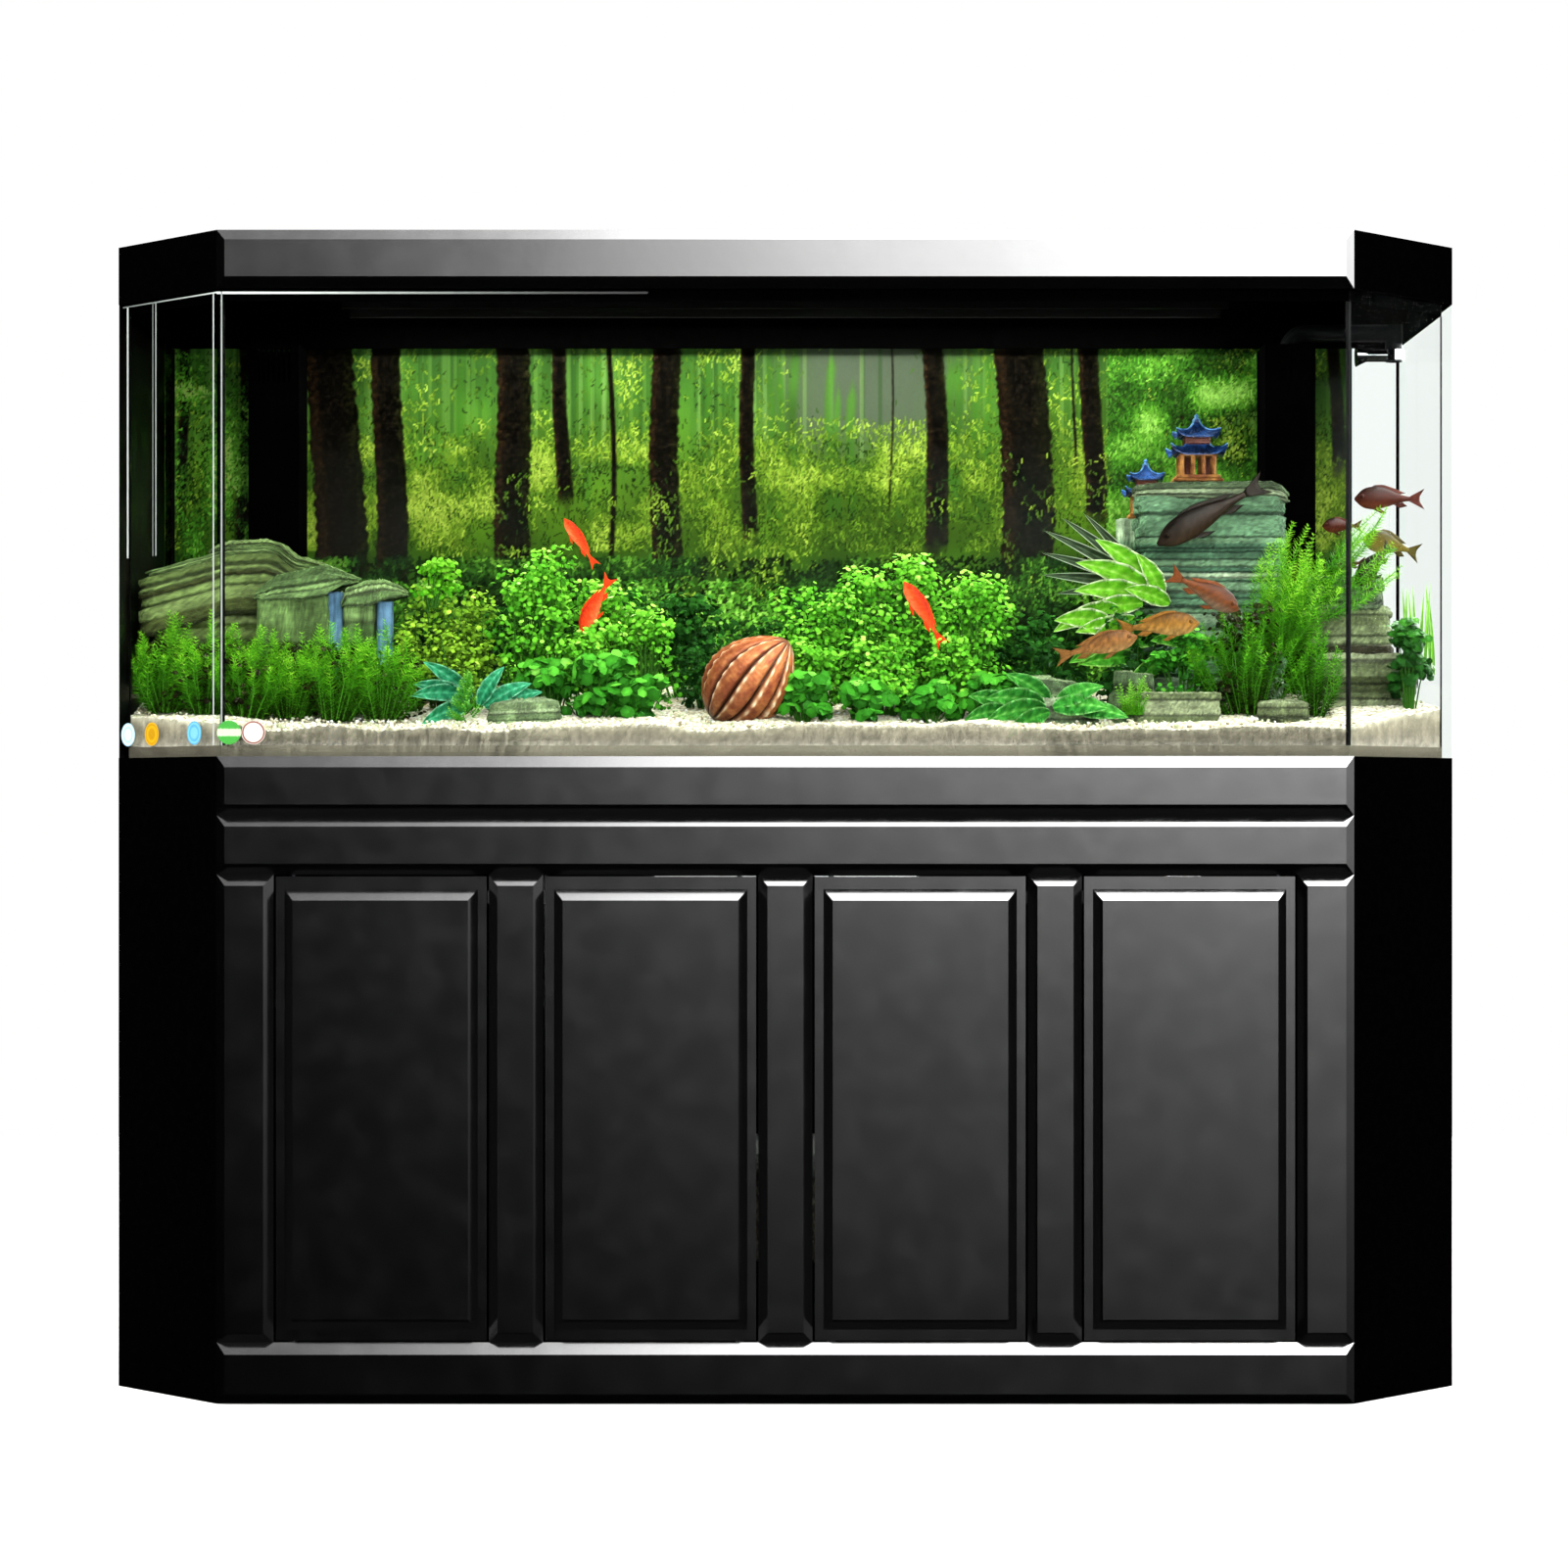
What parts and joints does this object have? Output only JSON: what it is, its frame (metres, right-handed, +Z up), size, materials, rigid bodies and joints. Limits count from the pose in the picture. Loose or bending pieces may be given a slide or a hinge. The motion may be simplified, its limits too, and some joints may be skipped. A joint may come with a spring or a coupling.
{
  "type": "aquarium on stand",
  "caption": "Glass aquarium with cut corners, a hood with hinged lids, a planted forest scene and an overflow filter, on a black panelled cabinet with pivoting doors.",
  "frame": {"origin": "on the floor at the centre of the footprint", "axes": "+X to the right seen from the front, +Y to the back, +Z up"},
  "size_m": [1.5, 0.45, 1.28],
  "materials": {
    "black_lacquer": "high gloss black lacquer on fibreboard",
    "board": "black melamine board, matt",
    "foam_mat": "closed-cell foam mat",
    "nylon": "black moulded nylon",
    "catch_plastic": "black moulded plastic round a magnet",
    "steel": "black-coated steel",
    "dark_steel": "black oxide steel",
    "glass": "clear float glass with polished edges",
    "silicone": "black silicone sealant",
    "printed_film": "printed film with a forest scene",
    "sticker": "plain round vinyl sticker",
    "black_plastic": "moulded black plastic",
    "black_acrylic": "black acrylic sheet",
    "lamp_diffuser": "opal diffuser over a row of lamps",
    "rocker": "moulded black rocker",
    "pvc": "dark pressure pipe: grey drain, black return",
    "valve_ball": "plated ball",
    "lever": "moulded red lever",
    "chrome": "bright plated nozzle",
    "filter_foam": "open-cell filter sponge, ceramic media and wool",
    "pump_plastic": "moulded pump case",
    "impeller_plastic": "moulded white impeller",
    "gravel": "fine pale quartz gravel",
    "rock": "layered grey-green slate",
    "glazed_pottery": "blue glazed roofs over tan pottery walls",
    "shell": "ribbed brown shell",
    "plant_leaf": "soft green plant leaves",
    "fish_skin": "painted fish ornaments on clear rods"
  },
  "bodies": {
    "stand": {"bottom_board": "board", "left_side_panel": "black_lacquer", "right_side_panel": "black_lacquer", "left_corner_panel": "black_lacquer", "right_corner_panel": "black_lacquer", "back_panel": "board", "partitions": "board", "top_board": "board", "upper_fascia": "black_lacquer", "lower_fascia": "black_lacquer", "plinth_fascia": "black_lacquer", "pilasters": "black_lacquer", "pivot_bushes": "nylon", "magnet_catches": "catch_plastic", "levelling_mat": "foam_mat", "bottom_glass": "glass", "front_glass": "glass", "back_glass": "glass", "left_glass": "glass", "right_glass": "glass", "left_corner_glass": "glass", "right_corner_glass": "glass", "silicone_seams": "silicone", "background_film": "printed_film", "round_stickers": "sticker", "hood_frame": "black_lacquer", "hood_fascia": "black_lacquer", "hood_deck": "black_lacquer", "lid_hinges": "dark_steel", "light_housing": "black_plastic", "led_strip": "lamp_diffuser", "switch_bezel": "black_plastic", "overflow_column": "black_acrylic", "return_column": "black_acrylic", "drain_pipe": "pvc", "return_pipe": "pvc", "sump_tank": "glass", "filter_media": "filter_foam", "pump_body": "pump_plastic", "gravel_bed": "gravel", "rocks": "rock", "pagodas": "glazed_pottery", "shell": "shell", "plants": "plant_leaf", "fish": "fish_skin"},
    "left_lid": {"left_lid": "black_acrylic"},
    "right_lid": {"right_lid": "black_acrylic"},
    "valve": {"valve_handle": "lever", "valve_ball": "valve_ball"},
    "impeller": {"pump_impeller": "impeller_plastic"},
    "nozzle": {"return_nozzle": "chrome"},
    "rocker": {"light_switch": "rocker"},
    "door_1": {"door_1": "black_lacquer", "door_1_hardware": "steel"},
    "door_2": {"door_2": "black_lacquer", "door_2_hardware": "steel"},
    "door_3": {"door_3": "black_lacquer", "door_3_hardware": "steel"},
    "door_4": {"door_4": "black_lacquer", "door_4_hardware": "steel"}
  },
  "joints": [
    {"name": "door_1_hinge", "type": "hinge", "parent": "stand", "child": "door_1", "pos_m": [-0.5375, -0.207, 0.32], "axis": [0, 0, -1], "range_deg": [0, 95]},
    {"name": "door_2_hinge", "type": "hinge", "parent": "stand", "child": "door_2", "pos_m": [-0.05, -0.207, 0.32], "axis": [0, 0, 1], "range_deg": [0, 95]},
    {"name": "door_3_hinge", "type": "hinge", "parent": "stand", "child": "door_3", "pos_m": [0.05, -0.207, 0.32], "axis": [0, 0, -1], "range_deg": [0, 95]},
    {"name": "door_4_hinge", "type": "hinge", "parent": "stand", "child": "door_4", "pos_m": [0.5375, -0.207, 0.32], "axis": [0, 0, 1], "range_deg": [0, 95]},
    {"name": "left_lid_hinge", "type": "hinge", "parent": "stand", "child": "left_lid", "pos_m": [-0.3075, 0.092, 1.2732], "axis": [-1, 0, 0], "range_deg": [0, 100]},
    {"name": "right_lid_hinge", "type": "hinge", "parent": "stand", "child": "right_lid", "pos_m": [0.3075, 0.092, 1.2732], "axis": [-1, 0, 0], "range_deg": [0, 100]},
    {"name": "valve_turn", "type": "hinge", "parent": "stand", "child": "valve", "pos_m": [0.598, 0.165, 0.56], "axis": [0, 1, 0], "range_deg": [0, 90]},
    {"name": "impeller_spin", "type": "hinge", "parent": "stand", "child": "impeller", "pos_m": [0.2, 0.16, 0.061], "axis": [0, 1, 0], "continuous": true},
    {"name": "nozzle_swivel", "type": "hinge", "parent": "stand", "child": "nozzle", "pos_m": [0.725, 0.165, 1.19], "axis": [0, 0, 1], "range_deg": [-40, 40]},
    {"name": "lamp_switch_rock", "type": "hinge", "parent": "stand", "child": "rocker", "pos_m": [0.66, 0.15, 1.272], "axis": [0, 1, 0], "range_deg": [0, 16]}
  ]
}
